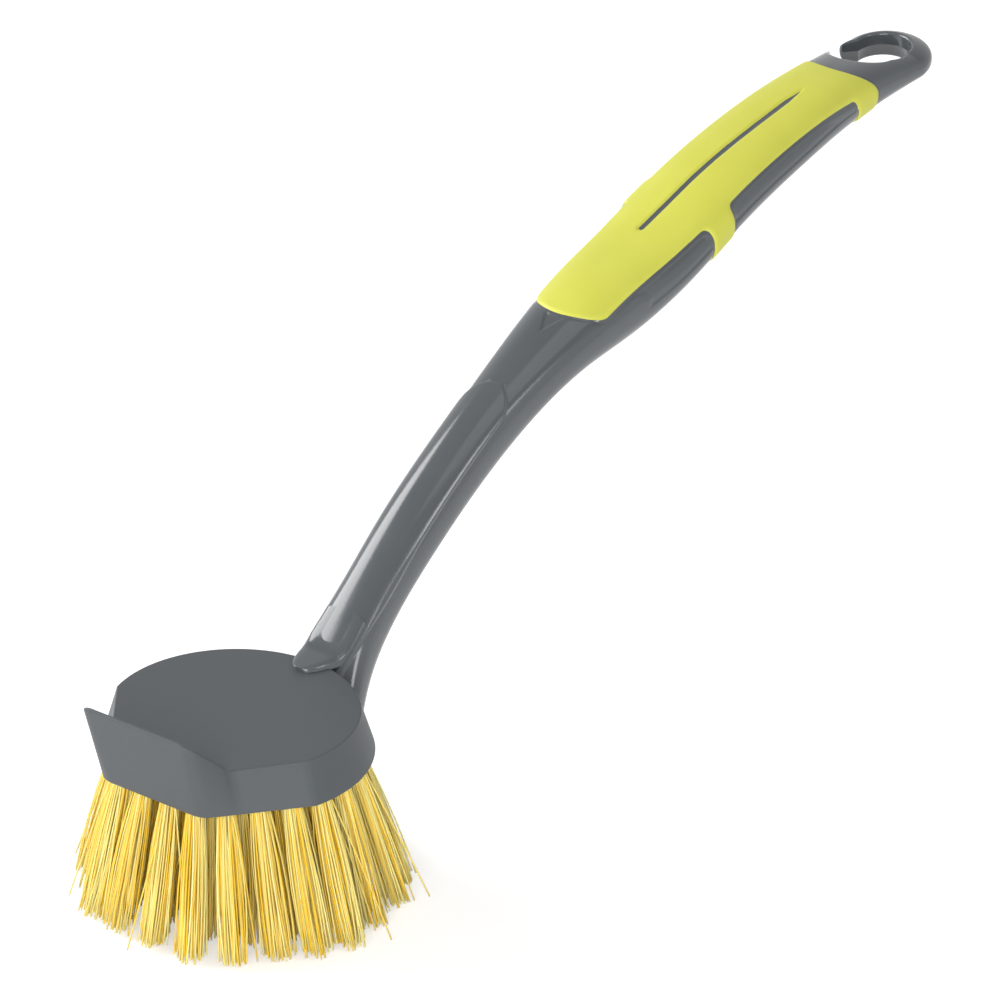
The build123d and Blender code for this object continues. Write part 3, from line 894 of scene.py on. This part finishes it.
links.new(lift.outputs[0], shader.inputs["Emission Strength"])
floor_mesh.materials.append(floor_paint)
print("floor", tuple(floor.dimensions))

# %% World
world = bpy.data.worlds.new("studio")
bpy.context.scene.world = world
world.use_nodes = True
nodes, links = world.node_tree.nodes, world.node_tree.links
background = nodes["Background"]
background.inputs["Color"].default_value = (1, 1, 1, 1)
rays = nodes.new("ShaderNodeLightPath")
seen = nodes.new("ShaderNodeMath")
seen.operation = "MAXIMUM"
links.new(rays.outputs["Is Camera Ray"], seen.inputs[0])
links.new(rays.outputs["Is Glossy Ray"], seen.inputs[1])
through = nodes.new("ShaderNodeMath")
through.operation = "MAXIMUM"
links.new(seen.outputs[0], through.inputs[0])
links.new(rays.outputs["Is Transmission Ray"], through.inputs[1])
ambient = nodes.new("ShaderNodeMapRange")
ambient.inputs["To Min"].default_value = 0.45
ambient.inputs["To Max"].default_value = 0.95
links.new(through.outputs[0], ambient.inputs["Value"])
direction = nodes.new("ShaderNodeTexCoord")
height = nodes.new("ShaderNodeSeparateXYZ")
links.new(direction.outputs["Generated"], height.inputs["Vector"])
ceiling = ranged(nodes, links, height.outputs["Z"], 0.3, 0.8, 1.0, 0.6)
dimmed = nodes.new("ShaderNodeMath")
dimmed.operation = "MULTIPLY"
links.new(ambient.outputs["Result"], dimmed.inputs[0])
links.new(ceiling, dimmed.inputs[1])
links.new(dimmed.outputs[0], background.inputs["Strength"])
print("world", len(nodes), "nodes")


# %% Lamps
def area_lamp(name, place, target, size, power):
    """A square soft lamp that looks from place to target."""
    lamp = bpy.data.lights.new(name, "AREA")
    lamp.size = size
    lamp.energy = power
    holder = bpy.data.objects.new(name, lamp)
    holder.location = place
    holder.rotation_euler = (Vector(target) - Vector(place)).to_track_quat("-Z", "Y").to_euler()
    bpy.context.scene.collection.objects.link(holder)
    return holder


middle = (0.1, 0.0, 0.07)
area_lamp("far_side_band", (-0.3, 1.2, 0.75), middle, 0.95, 17)
area_lamp("front_fill", (-1.2, -0.75, 0.35), (0, 0, 0.03), 0.9, 16)
area_lamp("top_fill", (0.2, -0.2, 1.6), middle, 1.0, 2)
area_lamp("near_streak", (0.1, -1.2, 0.9), middle, 0.35, 2)

# %% Camera
azimuth, elevation = math.radians(-52.0), math.radians(27.746)
level_share = math.cos(elevation)
back = Vector((math.sin(azimuth) * level_share, -math.cos(azimuth) * level_share, math.sin(elevation)))
right = Vector((math.cos(azimuth), math.sin(azimuth), 0))
up = back.cross(right)
camera_data = bpy.data.cameras.new("camera")
camera = bpy.data.objects.new("camera", camera_data)
bpy.context.scene.collection.objects.link(camera)
scale = 0.93
place = scale * (2000.0 * back + 62.688 * right + 49.411 * up) + Vector((0.7, 0, 45.45))
camera.matrix_world = Matrix.Translation(place * MM) @ Matrix((right, up, back)).transposed().to_4x4()
camera_data.sensor_width = 36.0
camera_data.lens = 36.0 * 8.449445
camera_data.clip_start = 0.1
bpy.context.scene.camera = camera
bpy.context.scene.view_settings.view_transform = "Standard"
print("camera at", tuple(round(v, 3) for v in camera.location))
